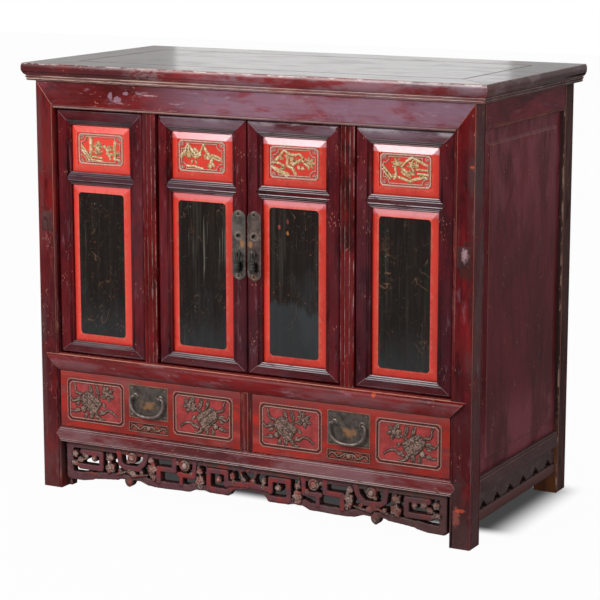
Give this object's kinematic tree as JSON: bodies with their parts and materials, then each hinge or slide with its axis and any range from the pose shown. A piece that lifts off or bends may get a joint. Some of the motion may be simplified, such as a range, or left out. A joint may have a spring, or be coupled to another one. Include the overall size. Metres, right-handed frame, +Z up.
{
  "type": "low wedding cabinet",
  "caption": "Low lacquered cupboard with a framed top, hinged doors between lift-out leaves, drawers with bail pulls and an openwork apron.",
  "frame": {"origin": "on the floor, under the middle of the cabinet's box", "axes": "+X to the right seen from the front, +Y from front to back, +Z up"},
  "size_m": [1.14, 0.565, 0.985],
  "materials": {
    "burgundy_lacquer": "worn gloss lacquer",
    "maroon_lacquer": "satin lacquer",
    "vermilion_lacquer": "gloss lacquer",
    "rust_red_lacquer": "worn satin lacquer",
    "black_lacquer": "gloss lacquer",
    "gilded_carving": "worn gilding",
    "taupe_carving": "worn paint",
    "plain_softwood": "unfinished",
    "patch_wood": "worn",
    "aged_bronze": "dark patina"
  },
  "bodies": {
    "carcase": {"front_left_post": "burgundy_lacquer", "front_right_post": "burgundy_lacquer", "rear_left_post": "burgundy_lacquer", "rear_right_post": "burgundy_lacquer", "head_rail_front": "burgundy_lacquer", "head_rail_back": "burgundy_lacquer", "head_rails_side": "burgundy_lacquer", "sill_rail": "burgundy_lacquer", "sill_rail_back": "burgundy_lacquer", "bottom_rail_front": "burgundy_lacquer", "bottom_rail_back": "burgundy_lacquer", "bottom_rails_side": "burgundy_lacquer", "reeded_post_left": "burgundy_lacquer", "reeded_post_right": "burgundy_lacquer", "top_front_member": "burgundy_lacquer", "top_back_member": "burgundy_lacquer", "top_end_members": "burgundy_lacquer", "top_panel": "burgundy_lacquer", "drawer_divider": "burgundy_lacquer", "front_apron": "burgundy_lacquer", "side_aprons": "burgundy_lacquer", "left_leaf_frame": "burgundy_lacquer", "right_leaf_frame": "burgundy_lacquer", "side_panel_left": "maroon_lacquer", "side_panel_right": "maroon_lacquer", "left_leaf_carved_panel": "vermilion_lacquer", "left_leaf_lower_panel": "vermilion_lacquer", "right_leaf_carved_panel": "vermilion_lacquer", "right_leaf_lower_panel": "vermilion_lacquer", "back_boards": "plain_softwood", "top_battens": "plain_softwood", "cupboard_floor": "plain_softwood", "shelf": "plain_softwood", "shelf_bearers": "plain_softwood", "drawer_runners": "plain_softwood", "post_patches": "patch_wood"},
    "left_door": {"left_door_hinge_stile": "burgundy_lacquer", "left_door_frame": "burgundy_lacquer", "left_door_carved_panel": "vermilion_lacquer", "left_door_lower_panel": "vermilion_lacquer", "left_door_plate": "aged_bronze", "left_door_studs": "aged_bronze"},
    "left_pull": {"left_door_pull": "aged_bronze"},
    "left_drawer": {"left_drawer_front": "rust_red_lacquer", "left_drawer_box": "plain_softwood", "left_drawer_plate": "aged_bronze"},
    "left_bail": {"left_drawer_bail": "aged_bronze"},
    "right_door": {"right_door_hinge_stile": "burgundy_lacquer", "right_door_frame": "burgundy_lacquer", "right_door_carved_panel": "vermilion_lacquer", "right_door_lower_panel": "vermilion_lacquer", "right_door_plate": "aged_bronze", "right_door_studs": "aged_bronze"},
    "right_pull": {"right_door_pull": "aged_bronze"},
    "right_drawer": {"right_drawer_front": "rust_red_lacquer", "right_drawer_box": "plain_softwood", "right_drawer_plate": "aged_bronze"},
    "right_bail": {"right_drawer_bail": "aged_bronze"}
  },
  "joints": [
    {"name": "left_door_hinge", "type": "hinge", "parent": "carcase", "child": "left_door", "pos_m": [-0.21575, -0.2475, 0.6], "axis": [0, 0, -1], "range_deg": [0, 95]},
    {"name": "left_pull_swing", "type": "hinge", "parent": "left_door", "child": "left_pull", "pos_m": [-0.0192, -0.2699, 0.597], "axis": [-1, 0, 0], "range_deg": [0, 100]},
    {"name": "left_drawer_slide", "type": "slide", "parent": "carcase", "child": "left_drawer", "axis": [0, -1, 0], "range_m": [0, 0.3]},
    {"name": "left_bail_swing", "type": "hinge", "parent": "left_drawer", "child": "left_bail", "pos_m": [-0.253, -0.275, 0.243], "axis": [-1, 0, 0], "range_deg": [0, 90]},
    {"name": "right_door_hinge", "type": "hinge", "parent": "carcase", "child": "right_door", "pos_m": [0.21575, -0.2475, 0.6], "axis": [0, 0, 1], "range_deg": [0, 95]},
    {"name": "right_pull_swing", "type": "hinge", "parent": "right_door", "child": "right_pull", "pos_m": [0.0192, -0.2699, 0.597], "axis": [-1, 0, 0], "range_deg": [0, 100]},
    {"name": "right_drawer_slide", "type": "slide", "parent": "carcase", "child": "right_drawer", "axis": [0, -1, 0], "range_m": [0, 0.3]},
    {"name": "right_bail_swing", "type": "hinge", "parent": "right_drawer", "child": "right_bail", "pos_m": [0.253, -0.275, 0.243], "axis": [-1, 0, 0], "range_deg": [0, 90]}
  ]
}
